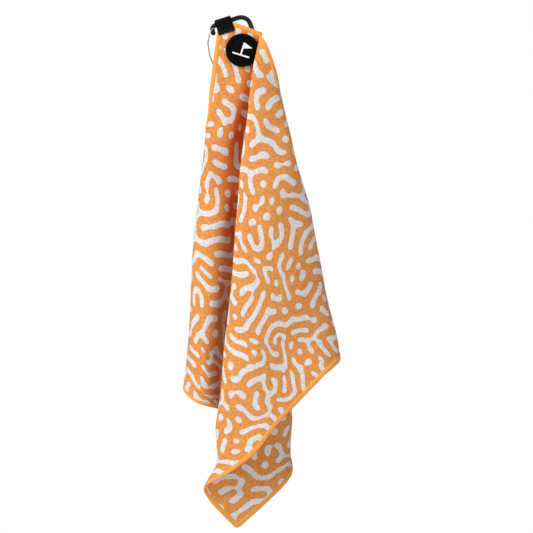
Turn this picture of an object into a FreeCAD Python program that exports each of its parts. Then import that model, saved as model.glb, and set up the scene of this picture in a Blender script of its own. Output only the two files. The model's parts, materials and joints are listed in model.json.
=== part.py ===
"""Square microfibre golf towel that hangs from one corner by a round magnet button.

Frame: millimetres, +Z up, the front of the towel faces -Y. The origin is the centre of the
magnet button's rear face, where the towel is held. The towel hangs in long folds from its corner.
A webbing strap folded over the corner carries a carabiner that hangs behind the cloth.
"""
import FreeCAD
import Part
import Sketcher
import math
import os

Vector = FreeCAD.Vector
FRONTWARD = FreeCAD.Rotation(Vector(1, 0, 0), 90)  # local +Z becomes -Y, towards the front

# Driving dimensions in millimetres and degrees: alias, value.
DIMENSIONS = [
    ("cloth_thick", 1.4),
    ("hem_width", 5.0),
    ("hem_thick", 2.2),
    ("cap_diameter", 40.0),
    ("cap_height", 6.0),
    ("cap_rim_width", 4.0),
    ("cap_groove_width", 2.0),
    ("cap_groove_depth", 1.0),
    ("cap_face_drop", 0.5),
    ("cap_edge_round", 1.2),
    ("cap_cavity_diameter", 24.0),
    ("cap_cavity_depth", 3.2),
    ("emblem_height", 0.3),
    ("emblem_tilt", 17.0),
    ("back_diameter", 27.0),
    ("back_height", 8.8),
    ("back_wall", 1.5),
    ("back_floor", 1.0),
    ("back_edge_round", 0.8),
    ("magnet_diameter", 22.0),
    ("magnet_height", 4.0),
    ("magnet_hole", 7.0),
    ("cup_wall", 0.7),
    ("cup_floor", 1.2),
    ("plate_diameter", 23.0),
    ("plate_thick", 1.0),
    ("washer_diameter", 16.0),
    ("rivet_shank", 4.0),
    ("rivet_head", 6.4),
    ("rivet_head_thick", 1.0),
    ("rivet_bore", 2.4),
    ("fit_gap", 0.1),
    ("strap_width", 20.4),
    ("strap_thick", 1.6),
    ("strap_leg", 13.5),
    ("strap_slope", 9.0),
    ("strap_bend_inner", 1.0),
    ("strap_bend_outer", 1.4),
    ("loop_gap", 5.7),
    ("loop_across", -22.6),
    ("loop_up", 33.7),
    ("loop_tilt", 18.0),
    ("stitch_length", 2.2),
    ("stitch_thick", 0.5),
    ("stitch_gap", 1.0),
    ("stitch_margin", 2.0),
    ("stitch_row_high", 10.2),
    ("stitch_row_low", 12.4),
    ("bar_diameter", 5.6),
    ("bar_clearance", 1.3),
    ("ring_width", 51.1),
    ("ring_height", 74.0),
    ("ring_left", -21.0),
    ("ring_top_round", 11.8),
    ("ring_low_round", 16.0),
    ("ring_heel_round", 13.0),
    ("nose_across", -15.7),
    ("nose_round", 5.6),
    ("nose_end", 8.5),
    ("heel_end", 56.0),
    ("pivot_across", -13.2),
    ("pivot_down", 2.4),
    ("flat_thick", 4.0),
    ("flat_reach", 2.0),
    ("wire_diameter", 1.4),
    ("wire_offset", 2.9),
    ("wire_bore", 1.6),
    ("wire_end_gap", 0.8),
    ("wire_pivot_bend", 1.1),
    ("wire_bow_bend", 14.0),
    ("wire_low_bend", 6.0),
    ("wire_tip_bend", 1.2),
]

# Where the cloth's lower edge hangs, from the left corner round the folds to the bottom corner.
# Each point is (across, behind the flat corner, up), chosen fold by fold.
LEFT_EDGE = [
    (-16, 38, -402),  # left corner, wrapped behind
    (-48, 33, -402),
    (-69, 10, -404),  # left fold
    (-50, -12, -416),
    (-24, 0, -430),
    (-4, 28, -440),
    (22, 42, -452),  # rear fold
    (45, 26, -474),
    (58, -4, -500),  # inner fold
    (44, -22, -526),
    (-6, -30, -570),  # bottom corner
]
# From the bottom corner round the folds to the right corner.
RIGHT_EDGE = [
    (-6, -30, -570),  # bottom corner
    (-44, -52, -528),  # foot of the front ridge
    (-28, -66, -513),
    (5, -72, -492),  # front crest
    (38, -56, -453),
    (69, -44, -420),
    (105, -46, -385),
    (117, -26, -369),  # right fold
    (106, 2, -364),
    (84, 20, -362),
    (60, 26, -362),  # right corner, wrapped behind
]
# The flat corner of the towel, hem included: (across, up). The tip is trimmed inside the strap.
CORNER_OUTLINE = [(-29.5, 31), (-15.5, 35.4), (21, 22), (31, 6), (47, -40), (51, -60), (-45, -60), (-42, -50)]
SHOULDER = [(-39, -50), (42, -40)]  # the line where the flat corner ends and the folds begin
# How far down the folds the sheet's rows lie, closer together where the folds begin.
FOLD_LEVELS = (0, 0.03, 0.06, 0.1, 0.15, 0.22, 0.32, 0.5, 0.75, 1)

# The pictogram on the button: a pin flag on a ground line.
EMBLEM = [
    (-10.5, -7), (10.5, -7), (10.5, -5.2), (0.8, -5.2), (0.8, 2.2),
    (11, 5.6), (0.8, 9.2), (-1, 9.2), (-1, -5.2), (-10.5, -5.2),
]

# The gate wire's bow in the ring's own plane, from its pivot to its free end: (across, up).
GATE_BOW = [(-19.5, -6.5), (-25.6, -17.5), (-28.2, -33), (-27, -48)]
GATE_TIP = (-17.3, -59.5)


def make_sheet(doc):
    """The spreadsheet that every size comes from."""
    sheet = doc.addObject("Spreadsheet::Sheet", "Dimensions")
    for row, (alias, value) in enumerate(DIMENSIONS, start=1):
        sheet.set(f"A{row}", alias)
        sheet.set(f"B{row}", str(value))
        sheet.setAlias(f"B{row}", alias)
    doc.recompute()
    return sheet


def bound(expression):
    """An expression on the sheet's aliases, with each alias given its sheet's name."""
    words = [alias for alias, _ in DIMENSIONS]
    parts = expression.replace("(", "( ").replace(")", " )").split()
    return " ".join(f"Dimensions.{part}" if part in words else part for part in parts)


def value_of(sheet, expression):
    """The number that an expression on the sheet's aliases gives now."""
    return float(sheet.evalExpression(bound(expression)))


def origin_plane(body, role):
    return next(item for item in body.Origin.OriginFeatures if item.Role == role)


def new_sketch(body, name, role, offset=0.0):
    """A sketch on one of the body's own origin planes, raised along the plane's normal."""
    sketch = body.newObject("Sketcher::SketchObject", name)
    sketch.AttachmentSupport = (origin_plane(body, role), [""])
    sketch.MapMode = "FlatFace"
    sketch.AttachmentOffset = FreeCAD.Placement(Vector(0, 0, offset), FreeCAD.Rotation())
    return sketch


def bound_polygon(sheet, sketch, corners):
    """A closed polygon whose corners' coordinates are expressions on the sheet."""
    places = [Vector(value_of(sheet, x), value_of(sheet, y), 0) for x, y in corners]
    first = sketch.GeometryCount
    for start, end in zip(places, places[1:] + places[:1]):
        sketch.addGeometry(Part.LineSegment(start, end))
    count = len(places)
    for i in range(count):
        sketch.addConstraint(Sketcher.Constraint("Coincident", first + i, 2, first + (i + 1) % count, 1))
    for i, (x, y) in enumerate(corners):
        for kind, expression, place in (("DistanceX", x, places[i].x), ("DistanceY", y, places[i].y)):
            index = sketch.addConstraint(Sketcher.Constraint(kind, first + i, 1, place))
            sketch.setExpression(f"Constraints[{index}]", bound(expression))


def turned(doc, sheet, label, corners, forward):
    """A body turned about the button's axis from corners (radius, height), set forward of the origin."""
    body = doc.addObject("PartDesign::Body", label)
    sketch = new_sketch(body, f"{label}_profile", "XZ_Plane")
    bound_polygon(sheet, sketch, corners)
    turn = body.newObject("PartDesign::Revolution", f"{label}_turn")
    turn.Profile = sketch
    turn.ReferenceAxis = (sketch, ["V_Axis"])
    turn.Angle = 360
    body.Placement = FreeCAD.Placement(Vector(0, 0, 0), FRONTWARD)
    body.setExpression(".Placement.Base.y", bound(f"-1 * ( {forward} )"))
    return body


def make_button(doc, sheet):
    """The two caps, the magnet in its steel cup, and the rivet that clamps the cloth."""
    rim = "cap_diameter / 2 - cap_rim_width"
    face = "cap_height - cap_face_drop"
    front = "back_height + cloth_thick"
    cap = turned(doc, sheet, "button_front_cap", [
        ("0", "cap_cavity_depth"),
        ("cap_cavity_diameter / 2", "cap_cavity_depth"),
        ("cap_cavity_diameter / 2", "0"),
        ("cap_diameter / 2", "0"),
        ("cap_diameter / 2", "cap_height - cap_edge_round"),
        ("cap_diameter / 2 - cap_edge_round", "cap_height"),
        (rim, "cap_height"),
        (rim, "cap_height - cap_groove_depth"),
        (f"{rim} - cap_groove_width", "cap_height - cap_groove_depth"),
        (f"{rim} - cap_groove_width", face),
        ("0", face),
    ], front)
    inner = "back_diameter / 2 - back_wall"
    back = turned(doc, sheet, "button_back_cap", [
        ("0", "0"),
        ("back_diameter / 2 - back_edge_round", "0"),
        ("back_diameter / 2", "back_edge_round"),
        ("back_diameter / 2", "back_height"),
        (inner, "back_height"),
        (inner, "back_floor"),
        ("0", "back_floor"),
    ], "0")
    magnet = turned(doc, sheet, "magnet", [
        ("magnet_hole / 2", "fit_gap"),
        ("magnet_diameter / 2", "fit_gap"),
        ("magnet_diameter / 2", "magnet_height"),
        ("magnet_hole / 2", "magnet_height"),
    ], "back_floor")
    cup = turned(doc, sheet, "magnet_cup", [
        ("rivet_shank / 2 + fit_gap", "magnet_height"),
        ("magnet_diameter / 2 + fit_gap", "magnet_height"),
        ("magnet_diameter / 2 + fit_gap", "fit_gap"),
        ("magnet_diameter / 2 + cup_wall", "fit_gap"),
        ("magnet_diameter / 2 + cup_wall", "magnet_height + cup_floor"),
        ("rivet_shank / 2 + fit_gap", "magnet_height + cup_floor"),
    ], "back_floor")
    under_cup = "back_floor + magnet_height + cup_floor"
    washer = turned(doc, sheet, "spacer_washer", [
        ("rivet_shank / 2 + fit_gap", "0"),
        ("washer_diameter / 2", "0"),
        ("washer_diameter / 2", f"back_height - ( {under_cup} )"),
        ("rivet_shank / 2 + fit_gap", f"back_height - ( {under_cup} )"),
    ], under_cup)
    plate = turned(doc, sheet, "front_plate", [
        ("rivet_shank / 2 + fit_gap", "0"),
        ("plate_diameter / 2", "0"),
        ("plate_diameter / 2", "plate_thick"),
        ("rivet_shank / 2 + fit_gap", "plate_thick"),
    ], front)
    foot = "back_floor + magnet_height - rivet_head_thick"
    grip = f"{front} + plate_thick - ( {foot} )"
    rivet = turned(doc, sheet, "rivet", [
        ("rivet_bore / 2", "0"),
        ("rivet_head / 2", "0"),
        ("rivet_head / 2", "rivet_head_thick"),
        ("rivet_shank / 2", "rivet_head_thick"),
        ("rivet_shank / 2", grip),
        ("rivet_head / 2", grip),
        ("rivet_head / 2", f"{grip} + rivet_head_thick"),
        ("rivet_bore / 2", f"{grip} + rivet_head_thick"),
    ], foot)
    return [cap, back, magnet, cup, washer, plate, rivet]


def make_emblem(doc, sheet):
    """The raised pictogram on the button's face, tilted down to the right."""
    body = doc.addObject("PartDesign::Body", "button_emblem")
    sketch = new_sketch(body, "emblem_outline", "XY_Plane")
    bound_polygon(sheet, sketch, [(str(x), str(y)) for x, y in EMBLEM])
    pad = body.newObject("PartDesign::Pad", "emblem_pad")
    pad.Profile = sketch
    pad.setExpression("Length", bound("emblem_height"))
    tilt = FreeCAD.Rotation(Vector(0, 1, 0), value_of(sheet, "emblem_tilt"))
    body.Placement = FreeCAD.Placement(Vector(0, 0, 0), tilt * FRONTWARD)
    face = "back_height + cloth_thick + cap_height - cap_face_drop"
    body.setExpression(".Placement.Base.y", bound(f"-1 * ( {face} )"))
    return body


def loop_placement(sheet, depth):
    """The strap's and the ring's own frame: +X along the bar, origin on the loop's middle."""
    tilt = FreeCAD.Rotation(Vector(0, 1, 0), -value_of(sheet, "loop_tilt"))
    place = Vector(value_of(sheet, "loop_across"), depth, value_of(sheet, "loop_up"))
    return FreeCAD.Placement(place, tilt)


def make_strap(doc, sheet):
    """Webbing folded over the corner: the front leg, the loop round the bar and the rear leg."""
    thick = value_of(sheet, "strap_thick")
    leg = value_of(sheet, "strap_leg")
    slope = value_of(sheet, "strap_slope")
    bend_inner = value_of(sheet, "strap_bend_inner")
    bend_outer = value_of(sheet, "strap_bend_outer")
    inner = (value_of(sheet, "cloth_thick") + value_of(sheet, "bar_clearance")
             + value_of(sheet, "loop_gap")) / 2
    outer = inner + thick
    front = -inner  # the cloth's front face, measured from the loop's centre
    rear = front + value_of(sheet, "cloth_thick")
    side = Part.makePolygon([Vector(0, -outer, 0), Vector(0, -outer, -leg), Vector(0, front, -leg),
                             Vector(0, front, 0)])
    crown_in = Part.Arc(Vector(0, front, 0), Vector(0, 0, inner), Vector(0, inner, 0)).toShape()
    tail = Part.makePolygon([Vector(0, inner, 0), Vector(0, inner, -bend_inner), Vector(0, rear, -slope),
                             Vector(0, rear, -leg), Vector(0, rear + thick, -leg),
                             Vector(0, rear + thick, -slope), Vector(0, outer, -bend_outer),
                             Vector(0, outer, 0)])
    crown_out = Part.Arc(Vector(0, outer, 0), Vector(0, 0, outer), Vector(0, -outer, 0)).toShape()
    outline = Part.Wire(side.Edges + [crown_in] + tail.Edges + [crown_out])
    width = value_of(sheet, "strap_width")
    face = Part.Face(outline)
    face.translate(Vector(-width / 2, 0, 0))
    strap = doc.addObject("Part::Feature", "strap_loop")
    strap.Shape = face.extrude(Vector(width, 0, 0))
    depth = -value_of(sheet, "back_height + cloth_thick") + inner
    strap.Placement = loop_placement(sheet, depth)
    return strap


def make_stitching(doc, sheet):
    """Two rows of thread on the strap's front leg and two on its rear leg."""
    length = value_of(sheet, "stitch_length")
    thick = value_of(sheet, "stitch_thick")
    step = length + value_of(sheet, "stitch_gap")
    span = value_of(sheet, "strap_width - 2 * stitch_margin")
    count = int(span // step)
    rows = [-value_of(sheet, name) for name in ("stitch_row_low", "stitch_row_high")]
    front = -value_of(sheet, "back_height + cloth_thick + strap_thick") - thick
    rear = -value_of(sheet, "back_height - strap_thick")
    stitches = []
    for depth in (front, rear):
        for row in rows:
            for i in range(count):
                across = (i - (count - 1) / 2) * step - length / 2
                stitches.append(Part.makeBox(length, thick, thick, Vector(across, depth, row)))
    thread = doc.addObject("Part::Feature", "strap_stitching")
    thread.Shape = Part.makeCompound(stitches)
    thread.Placement = loop_placement(sheet, 0)
    return thread


def arc_path(corners, radii):
    """A wire of straight runs through the corners, each corner rounded by a tangent arc."""
    edges = []
    start = corners[0]
    for before, corner, after, radius in zip(corners, corners[1:], corners[2:], radii):
        back = (before - corner).normalize()
        ahead = (after - corner).normalize()
        half = back.getAngle(ahead) / 2
        reach = radius / math.tan(half)
        middle = corner + (back + ahead).normalize() * (radius / math.sin(half) - radius)
        edges.append(Part.LineSegment(start, corner + back * reach).toShape())
        edges.append(Part.Arc(corner + back * reach, middle, corner + ahead * reach).toShape())
        start = corner + ahead * reach
    edges.append(Part.LineSegment(start, corners[-1]).toShape())
    return Part.Wire(edges)


def tube(path, diameter):
    """A round rod along a path that starts along its first edge's direction."""
    edge = path.Edges[0]
    start = edge.valueAt(edge.FirstParameter)
    along = edge.tangentAt(edge.FirstParameter)
    ring = Part.Wire(Part.makeCircle(diameter / 2, start, along))
    return path.makePipeShell([ring], True, False)


def ring_corners(sheet):
    """The ring's centreline corners in its own plane, from the nose round to the heel."""
    left = value_of(sheet, "ring_left")
    right = left + value_of(sheet, "ring_width")
    low = -value_of(sheet, "ring_height")
    nose = value_of(sheet, "nose_across")
    places = [(nose, -value_of(sheet, "nose_end")), (nose, 0), (right, 0), (right, low), (left, low),
              (left, -value_of(sheet, "heel_end"))]
    rounds = ["nose_round", "ring_top_round", "ring_low_round", "ring_heel_round"]
    return [Vector(x, 0, z) for x, z in places], [value_of(sheet, name) for name in rounds]


def make_carabiner(doc, sheet):
    """The bent bar with rounded ends, flats at both ends for the gate, and the gate's pivot hole."""
    corners, radii = ring_corners(sheet)
    diameter = value_of(sheet, "bar_diameter")
    bar = tube(arc_path(corners, radii), diameter)
    for end in (corners[0], corners[-1]):
        bar = bar.fuse(Part.makeSphere(diameter / 2, end))
    flat = value_of(sheet, "flat_thick")
    pivot = Vector(value_of(sheet, "pivot_across"), -diameter, -value_of(sheet, "pivot_down"))
    size = 3 * diameter
    nose = Vector(pivot.x + value_of(sheet, "flat_reach") - size, 0, -size)
    heel = Vector(corners[-1].x - size / 2, 0, GATE_TIP[1] - diameter / 2)
    for place in (nose, heel):
        for depth in (flat / 2, -flat / 2 - diameter):
            bar = bar.cut(Part.makeBox(size, diameter, size, Vector(place.x, depth, place.z)))
    hole = Part.makeCylinder(value_of(sheet, "wire_bore") / 2, 2 * diameter, pivot, Vector(0, 1, 0))
    bar = bar.cut(hole)
    body = doc.addObject("Part::Feature", "carabiner_body")
    body.Shape = bar
    body.Placement = loop_placement(sheet, bar_depth(sheet))
    return body


def bar_depth(sheet):
    """How far behind the origin the ring's plane lies: behind the cloth by the clearance."""
    return -value_of(sheet, "back_height - bar_clearance - bar_diameter / 2")


def make_gate(doc, sheet):
    """The sprung wire gate: two strands joined at the free end and bent into the pivot hole."""
    offset = value_of(sheet, "wire_offset")
    pivot = (value_of(sheet, "pivot_across"), -value_of(sheet, "pivot_down"))
    plane = [pivot] + GATE_BOW + [GATE_TIP]
    near = [Vector(x, -offset, z) for x, z in plane]
    far = [Vector(x, offset, z) for x, z in reversed(plane)]
    gap = value_of(sheet, "wire_end_gap")
    ends = [Vector(pivot[0], depth, pivot[1]) for depth in (-gap / 2, gap / 2)]
    corners = [ends[0]] + near + far + [ends[1]]
    bow = ["wire_bow_bend"] * (len(GATE_BOW) - 1)
    bends = [value_of(sheet, name) for name in ["wire_pivot_bend", *bow, "wire_low_bend", "wire_tip_bend"]]
    radii = bends + bends[::-1]
    wire = doc.addObject("Part::Feature", "gate_wire")
    wire.Shape = tube(arc_path(corners, radii), value_of(sheet, "wire_diameter"))
    wire.Placement = loop_placement(sheet, bar_depth(sheet))
    return wire


def row_normals(row, above, below):
    """Unit normals of a sheet at each point of one row, from the points round it."""
    normals = []
    for i in range(len(row)):
        along = row[min(i + 1, len(row) - 1)] - row[max(i - 1, 0)]
        normals.append(along.cross(below[i] - above[i]).normalize())
    return normals


def smooth_curve(places):
    """A smooth curve through a row of points, one step of its parameter from each to the next."""
    curve = Part.BSplineCurve()
    curve.interpolate(Points=places, Parameters=[float(i) for i in range(len(places))])
    return curve


def even_knots(count):
    """Multiplicities, knots and degree of a clamped spline with evenly spaced knots."""
    degree = min(3, count - 1)
    inner = count - degree - 1
    return [degree + 1] + [1] * inner + [degree + 1], [float(i) for i in range(inner + 2)], degree


def patch(poles, down, across):
    """A face from a grid of poles, with the knots down its rows and across them."""
    surface = Part.BSplineSurface()
    surface.buildFromPolesMultsKnots(poles, down[0], across[0], down[1], across[1], False, False,
                                     down[2], across[2])
    return surface.toShape()


def closed_solid(faces):
    shell = Part.makeShell(faces)
    shell.sewShape()
    solid = Part.makeSolid(shell)
    return solid if solid.Volume > 0 else solid.reversed()


def sheet_solid(rows, normals, thick, breaks=()):
    """A closed sheet of even thickness through rows of points, with the normals of each row.

    breaks are the points of a row where the lower edge turns a corner, so that the sheet has a seam.
    """
    sides = [[[place + normal * offset for place, normal in zip(*pair)] for pair in zip(rows, normals)]
             for offset in (thick / 2, -thick / 2)]
    down = even_knots(len(rows))
    edge = even_knots(2)
    faces = []
    stops = [0, *breaks, len(rows[0]) - 1]
    for first, last in zip(stops, stops[1:]):
        curves = [[smooth_curve(row[first:last + 1]) for row in side] for side in sides]
        across = (curves[0][0].getMultiplicities(), curves[0][0].getKnots(), curves[0][0].Degree)
        poles = [[curve.getPoles() for curve in side] for side in curves]
        faces += [patch(side, down, across) for side in poles]
        faces += [patch([poles[0][row], poles[1][row]], edge, across) for row in (0, -1)]
    for end in (0, -1):
        faces.append(patch([[row[end] for row in side] for side in sides], edge, down))
    return closed_solid(faces)


def fold_rows(sheet):
    """The folded part of the sheet as rows of points from the shoulder to the lower edge."""
    depth = -value_of(sheet, "back_height + cloth_thick / 2")
    left, right = (Vector(x, depth, z) for x, z in SHOULDER)
    edge = [Vector(x, depth + y, z) for x, y, z in LEFT_EDGE + RIGHT_EDGE[1:]]
    steps = len(edge) - 1
    line = [left + (right - left) * (i / steps) for i in range(steps + 1)]
    rows = [[top + (low - top) * level for top, low in zip(line, edge)] for level in FOLD_LEVELS]
    normals = [[Vector(0, 1, 0)] * len(line)]
    normals += [row_normals(row, line, edge) for row in rows[1:]]
    return rows, normals


def corner_plate(sheet, inset, thick):
    """The flat corner of the towel above the shoulder line, drawn in from the hem's outside."""
    depth = -value_of(sheet, "back_height + cloth_thick / 2") - thick / 2
    outline = [Vector(x, depth, z) for x, z in CORNER_OUTLINE]
    wire = Part.makePolygon(outline + outline[:1])
    if inset:
        wire = wire.makeOffset2D(-inset)
    plate = Part.Face(wire).extrude(Vector(0, thick, 0))
    (x0, z0), (x1, z1) = SHOULDER
    slope = (z1 - z0) / (x1 - x0)
    reach = 100
    sides = [(x, z0 + slope * (x - x0)) for x in (-reach, reach)] + [(reach, -2 * reach), (-reach, -2 * reach)]
    below = [Vector(x, depth, z) for x, z in sides]
    cutter = Part.Face(Part.makePolygon(below + below[:1])).extrude(Vector(0, thick, 0))
    return plate.cut(cutter)


def make_cloth(doc, sheet):
    """The towel's cloth inside its hem: a flat corner with the rivet's hole, and the folds below it."""
    thick = value_of(sheet, "cloth_thick")
    folds = sheet_solid(*fold_rows(sheet), thick, [len(LEFT_EDGE) - 1])
    hole = Part.makeCylinder(value_of(sheet, "rivet_shank / 2 + fit_gap"), value_of(sheet, "cap_diameter"),
                             Vector(0, 0, 0), Vector(0, -1, 0))
    corner = corner_plate(sheet, value_of(sheet, "hem_width"), thick).cut(hole)
    towel = doc.addObject("Part::Feature", "towel_cloth")
    towel.Shape = corner.fuse(folds)
    return towel


def make_hem(doc, sheet):
    """The binding round the edge: the corner, a run down each side and one along the lower edges.

    Under the strap the binding is pressed as thin as the cloth.
    """
    thick = value_of(sheet, "hem_thick")
    width = value_of(sheet, "hem_width")
    rows, normals = fold_rows(sheet)
    edge = rows[-1]
    foot = [low + (low - top).normalize() * width for top, low in zip(rows[0], edge)]
    runs = [sheet_solid([edge, foot], [normals[-1]] * 2, thick, [len(LEFT_EDGE) - 1])]
    for end, beside in ((0, 1), (-1, -2)):
        strip = [[row[end], row[end] + (row[end] - row[beside]).normalize() * width] for row in rows]
        runs.append(sheet_solid(strip, [[row[end]] * 2 for row in normals], thick))
    corner = corner_plate(sheet, 0, thick).cut(corner_plate(sheet, width, thick))
    strap = doc.getObject("strap_loop").Shape
    runs += corner.cut(strap).Solids
    hem = doc.addObject("Part::Feature", "hem_binding")
    hem.Shape = Part.makeCompound(runs)
    return hem


def check(doc, pieces):
    """Stops on a failed object or a shape that is null or not valid."""
    for item in doc.Objects:
        if "Invalid" in item.State or "Error" in item.State:
            raise RuntimeError(f"{item.Label} failed: {item.State}")
    for piece in pieces:
        shape = piece.Shape
        print(f"{piece.Label}: {len(shape.Solids)} solids, {shape.Volume:.0f} mm3")
        if shape.isNull() or not shape.isValid() or not shape.Solids:
            raise RuntimeError(f"{piece.Label} has no valid solid")


def main():
    doc = FreeCAD.newDocument("magnetic_towel")
    sheet = make_sheet(doc)
    pieces = make_button(doc, sheet)
    makers = (make_emblem, make_strap, make_stitching, make_carabiner, make_gate, make_cloth, make_hem)
    pieces += [make(doc, sheet) for make in makers]
    doc.recompute()
    check(doc, pieces)
    os.makedirs("parts", exist_ok=True)
    for piece in pieces:
        piece.Shape.exportStep(f"parts/{piece.Label}.step")


main()
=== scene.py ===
"""Looks of the magnetic golf towel, in metres, in the CAD frame: +Z up, the front faces -Y.

The towel is a square sheet with flat coordinates u and v, both 0 at the corner that the button
holds. It starts as a smooth sheet through listed fold points, and a small cloth solver with
stiff threads, a soft bias, bending and gravity then settles it.
"""
import json
import math
import bpy
import numpy as np
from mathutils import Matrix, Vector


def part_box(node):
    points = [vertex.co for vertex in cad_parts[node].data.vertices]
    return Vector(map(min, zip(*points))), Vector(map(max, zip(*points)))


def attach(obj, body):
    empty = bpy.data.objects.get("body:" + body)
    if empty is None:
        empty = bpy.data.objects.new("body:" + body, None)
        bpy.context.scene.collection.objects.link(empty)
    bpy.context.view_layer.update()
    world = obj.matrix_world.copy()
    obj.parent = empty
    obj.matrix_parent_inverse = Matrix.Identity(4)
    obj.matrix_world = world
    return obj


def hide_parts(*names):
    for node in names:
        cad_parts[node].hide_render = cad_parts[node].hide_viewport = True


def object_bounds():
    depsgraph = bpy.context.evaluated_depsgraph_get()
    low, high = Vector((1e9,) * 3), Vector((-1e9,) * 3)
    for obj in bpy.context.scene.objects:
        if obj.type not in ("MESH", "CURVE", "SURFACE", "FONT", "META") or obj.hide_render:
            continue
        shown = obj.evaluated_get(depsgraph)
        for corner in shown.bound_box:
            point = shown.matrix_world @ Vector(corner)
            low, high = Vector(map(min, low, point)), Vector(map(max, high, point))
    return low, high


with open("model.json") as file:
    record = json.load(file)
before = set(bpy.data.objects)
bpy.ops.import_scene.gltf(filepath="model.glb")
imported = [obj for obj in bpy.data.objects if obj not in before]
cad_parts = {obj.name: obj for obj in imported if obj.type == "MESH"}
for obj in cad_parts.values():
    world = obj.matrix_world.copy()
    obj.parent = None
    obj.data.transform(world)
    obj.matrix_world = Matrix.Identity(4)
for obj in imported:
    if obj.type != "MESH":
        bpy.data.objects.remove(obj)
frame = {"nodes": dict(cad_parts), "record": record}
cad_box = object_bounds()

MM = 0.001
SIDE = 450 * MM  # the towel's cut size
CELLS = 300  # of the finished cloth, along each side; a multiple of 4
CORNER_ROUND = 6 * MM
TIP_ROUND = 12 * MM  # of the corner inside the strap
CLOTH_THICK = 1.4 * MM
CLOTH_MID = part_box("button_front_cap")[1][1] + CLOTH_THICK / 2  # the flat corner's depth, Y
BUTTON_AT = np.array([33.3, 28.7])  # the button's centre on the flat towel, u and v in mm
BUTTON_HOLD = 21.0  # mm round the button that the caps keep flat
STRAP_HOLD = 55.0  # mm of u + v from the tip that the strap keeps flat
STIFFNESS = 2e-4  # how far the first sheet may miss its fold points to stay smooth

# The cloth solver. A thread holds against a pull and gives way to a push.
TIME_STEP = 0.004  # seconds
GRAVITY = 9.81
SPEED_KEPT = 0.9  # from one step to the next
ROUNDS = 6  # of tying in each step
THREAD = (0.8, 0.015)  # share of a stretch and of a squeeze that is undone
BIAS = (0.03, 0.003)  # the same along the cells' diagonals
BENDING = 0.06  # share of a bend that is evened out
POINT_PULL = 0.30  # towards the first sheet at a fold point
POINT_REACH = 14 * MM
SHEET_PULL = 0.02  # towards the first sheet everywhere
COARSE_STEPS = 60
MIDDLE_STEPS = 15

# The print, the binding and its seam.
PRINT_PITCH = 15.0 * MM
PRINT_SEED = 7
WHITE_SHARE = 0.35
HEM_SPACING = 1.5 * MM
HEM_PROFILE = [  # mm in from the edge, mm over the towel's middle surface
    (5.2, 0.72), (4.9, 1.0), (3.6, 1.12), (2.0, 1.05), (0.8, 1.12), (-0.1, 0.9), (-0.55, 0.0),
    (-0.1, -0.9), (0.8, -1.12), (2.0, -1.05), (3.6, -1.12), (4.9, -1.0), (5.2, -0.72),
]
SEAM_INSET = 3.4 * MM
SEAM_PITCH = 3.0 * MM
SEAM_HEIGHT = 1.15 * MM
SEAM_THREAD = 0.28 * MM  # radius
SEAM_GAP = 0.12  # share of the pitch left free at each end of a stitch, and its slant

# The flat corner: the towel's tip, and what one mm of u and of v moves, in X and Z.
TIP = np.array([-27.4, 39.7])
ALONG_U = np.array([0.940, -0.342])
ALONG_V = np.array([-0.134, -0.991])

# Fold points, in mm: u, v, X, depth behind the flat corner, Z.
RIGHT_HEM = [
    (50, 0, 19.6, 0, 22.6), (56, 0, 21.8, -3, 19.8), (61, 0, 22.2, -6.5, 18.4), (68, 0, 26, -10, 15.2),
    (77, 0, 30.3, -12, 10), (87, 0, 34, -12, 0.5), (106, 0, 39.5, -11, -17), (125, 0, 43.5, -8, -36.5),
    (160, 0, 45, 2, -70.5), (200, 0, 46, 10, -109), (250, 0, 50, 17, -158), (325, 0, 58, 24, -232),
    (400, 0, 66, 28, -306), (450, 0, 71, 29, -356),
]
LEFT_HEM = [
    (0, 125, -42, 2, -84.4), (0, 160, -43, 7, -119), (0, 200, -40, 14, -158), (0, 260, -35, 23, -216.5),
    (0, 330, -29, 31, -286), (0, 400, -23, 37, -355.5), (0, 450, -18, 40, -405),
]
LEFT_FOLD = [
    (4, 132, -43, 3, -92), (14, 170, -46.5, 3, -129), (27, 225, -53.5, 5, -185),
    (42, 290, -60, 8, -251), (58, 355, -62.5, 10, -317), (70, 410, -66.5, 11, -371),
    (80, 450, -70, 12, -406),
]
LOWER_LEFT_HEM = [
    (0, 450, -18, 40, -405), (35, 450, -46, 34, -405), (80, 450, -70, 12, -406),
    (98, 450, -65, -3, -416), (116, 450, -51, -12, -425), (148, 450, -28, -6, -431),
    (195, 450, -10, 26, -440), (245, 450, 24, 44, -456), (295, 450, 48, 28, -478),
    (355, 450, 60, -6, -505), (395, 450, 42, -22, -531), (450, 450, -7, -28, -578),
]
LOWER_RIGHT_HEM = [
    (450, 450, -7, -28, -578), (450, 390, -44.8, -50, -529), (450, 355, -25, -62, -512),
    (450, 326, 3, -65, -493), (450, 296, 22, -61, -475), (450, 262, 38, -51, -453),
    (450, 205, 69, -41, -420), (450, 150, 98, -37, -391), (450, 128, 111, -29, -383),
    (450, 112, 116, -20, -376.5), (450, 96, 117, -6, -369), (450, 70, 111, 9, -364),
    (450, 35, 92, 20, -359), (450, 0, 71, 29, -356),
]
RIDGE = [
    (61, 0, 22.2, -6.5, 18.4), (67, 6, 18.6, -10, 12), (78, 17, 15.8, -14, -3.6),
    (93, 32, 12.9, -17, -25), (110, 47, 9.8, -20, -50), (128, 64, 6.7, -24, -75),
    (145, 81, 3.7, -27, -100), (163, 98, 0.9, -30, -125), (181, 115, -2, -34, -150),
    (205, 138, -5, -39, -185), (229, 161, -8, -43, -220), (259, 192, -11, -47, -263),
    (290, 222, -15, -50, -306), (326, 256, -20, -52, -354), (362, 292, -24.5, -53, -405),
    (396, 326, -31, -53, -454),
]
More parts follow.
